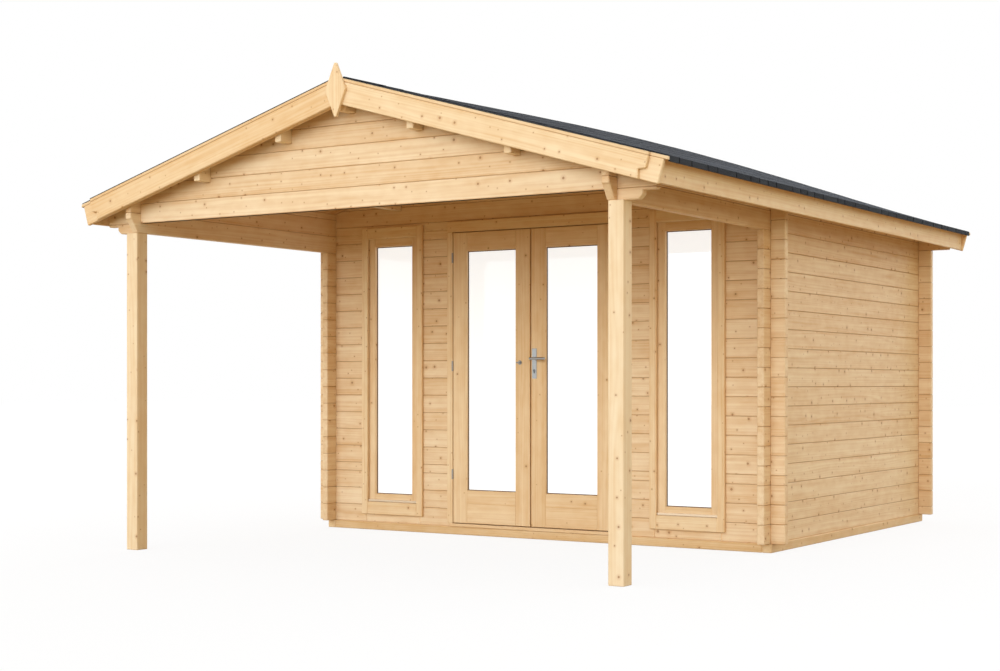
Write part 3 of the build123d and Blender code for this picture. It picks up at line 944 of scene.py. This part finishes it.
def turn_knob():
    """Small thumb turn on the left leaf: a round rose, a neck and a short bar."""
    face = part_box("door_leaf_left")[0].y
    knob = Fitting("left_leaf_turn")
    knob.turn(TURN_X, face, TURN_Z, -1, ROSE, ROSE_SIDES)
    knob.turn(TURN_X, face, TURN_Z, -1, NECK)
    knob.sweep([(TURN_X + reach, face - TURN_BAR_REACH, TURN_Z) for reach, _ in TURN_BAR],
               [radius for _, radius in TURN_BAR])
    knob.finish(satin, "left_door")


def lock_cylinders():
    """Key cylinders that show in both lock plates."""
    low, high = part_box("lock_plates")
    x = (low.x + high.x) / 2
    z = low.z + CYLINDER_HEIGHT
    lock = Fitting("lock_cylinders")
    for y, way in ((low.y, -1), (high.y, 1)):
        lock.turn(x, y, z, way, CYLINDER, ROSE_SIDES)
        lock.turn(x, y, z - CYLINDER_TAIL, way, KEYHOLE_FOOT)
    lock.finish(dark_steel, "right_door")


turn_knob()
lock_cylinders()

# Nodes that keep their own shape
METAL_BEVEL = 0.0006
LEVER_BEVEL = 0.0025
SEAL_WIDTH = 0.005
SEAL_DEPTH = 0.004


def finish_node(name, material, bevel=METAL_BEVEL):
    """Gives a node a material and rounded edges."""
    piece = nodes[name]
    piece.data.materials.clear()
    piece.data.materials.append(material)
    if bevel:
        rounding = piece.modifiers.new("rounding", "BEVEL")
        rounding.width = bevel
        rounding.segments = 2
        rounding.limit_method = "ANGLE"


def seals(glass):
    """Thin seal round each pane, on its outer face and its inner face; its dark brown is partly painted
    shade of the gap between sash and glass.
    """
    timber = Timber(glass + "_seals")
    for low, high in solid_boxes(glass):
        for y in (low.y - SEAL_DEPTH, high.y):
            hole = hole_in(low, high, SEAL_WIDTH, SEAL_WIDTH, SEAL_WIDTH)
            seal_low = Vector((low.x, y, low.z))
            seal_high = Vector((high.x, y + SEAL_DEPTH, high.z))
            framed(timber, seal_low, seal_high, *hole, SEAL_BEVEL)
    timber.finish(glass, seal_and_gap_shade, "glass", stands_for=False)


for name in ("door_glass_left", "door_glass_right", "window_glass"):
    finish_node(name, pane, 0)
    seals(name)
for name in ("frame_hinges", "leaf_hinges_left", "leaf_hinges_right"):
    finish_node(name, zinc)
finish_node("lock_plates", satin)
finish_node("door_lever", satin, LEVER_BEVEL)
finish_node("window_drip_rails", alloy)


# Stage, light and camera
FLOOR_REACH = 60
FLOOR_WHITE = (0.97, 0.97, 0.97, 1.0)
FLOOR_GLOW = 0.86            # share of plain white in the floor that the camera sees
FLOOR_BOUNCE = (0.39, 0.29, 0.14, 1.0)
WHITE = (1.0, 1.0, 1.0, 1.0)
LOW_SKY = (1.20, 1.07, 0.72, 1.0)
HIGH_SKY = (0.90, 0.89, 0.90, 1.0)
SKY_BLEND = (0.2, 0.55)      # heights between which the low sky turns into the high one
LAMP_COLOUR = (0.79, 0.88, 1.0)
LAMP_SPREAD = radians(50)
CAMERA_RIGHT = 5.494
CAMERA_BEFORE_WALL = 8.916
EYE_HEIGHT = 0.983
CAMERA_TURN = radians(32.755)
CAMERA_LENS = 59.45
CAMERA_SHIFT = 0.0483


def stage_floor():
    """Floor that looks white and throws warm light on the object from below."""
    mesh = bpy.data.meshes.new("studio_floor")
    reach = FLOOR_REACH
    mesh.from_pydata([(-reach, -reach, 0), (reach, -reach, 0), (reach, reach, 0), (-reach, reach, 0)],
                     [], [(0, 1, 2, 3)])
    floor = bpy.data.objects.new("studio_floor", mesh)
    bpy.context.scene.collection.objects.link(floor)
    shader = material_shader("studio_floor")
    seen = shader.seen()
    plain = shader.node("BsdfDiffuse", {"Color": shader.mix(seen, FLOOR_BOUNCE, FLOOR_WHITE)})
    glow = shader.node("Emission", {"Color": WHITE, "Strength": 1.0})
    shader.mix_surfaces(shader.math("MULTIPLY", seen, FLOOR_GLOW), plain, glow)
    mesh.materials.append(shader.owner)


def world_light():
    """White backdrop, and soft light that is warmer near the ground."""
    world = bpy.data.worlds.new("studio")
    bpy.context.scene.world = world
    shader = Shader(world, "OutputWorld")
    height = shader.split(shader.node("TexCoord").outputs["Generated"])[2]
    sky = shader.mix(shader.step(height, *SKY_BLEND), LOW_SKY, HIGH_SKY)
    soft = shader.node("Background", {"Color": sky, "Strength": 1.0})
    white = shader.node("Background", {"Color": WHITE, "Strength": 1.0})
    shader.mix_surfaces(shader.seen(), soft, white)


def lamp(name, strength, towards):
    data = bpy.data.lights.new(name, "SUN")
    data.energy = strength
    data.angle = LAMP_SPREAD
    data.color = LAMP_COLOUR
    piece = bpy.data.objects.new(name, data)
    piece.rotation_euler = Vector(towards).to_track_quat("-Z", "Y").to_euler()
    bpy.context.scene.collection.objects.link(piece)


def place_camera():
    """Camera at the photograph's place before the front wall."""
    data = bpy.data.cameras.new("camera")
    data.sensor_width = 36
    data.lens = CAMERA_LENS
    data.shift_y = CAMERA_SHIFT
    data.clip_end = 200
    camera = bpy.data.objects.new("camera", data)
    front_face_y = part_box("front_wall_sills")[0].y
    camera.location = (CAMERA_RIGHT, front_face_y - CAMERA_BEFORE_WALL, EYE_HEIGHT)
    camera.rotation_euler = (radians(90), 0, CAMERA_TURN)
    bpy.context.scene.collection.objects.link(camera)
    bpy.context.scene.camera = camera


stage_floor()
world_light()
lamp("front", strength=2.05, towards=(0.06, 1.0, -0.15))
lamp("rear", strength=1.7, towards=(0.0, -1.0, -0.15))
place_camera()
bpy.context.scene.view_settings.view_transform = "Standard"
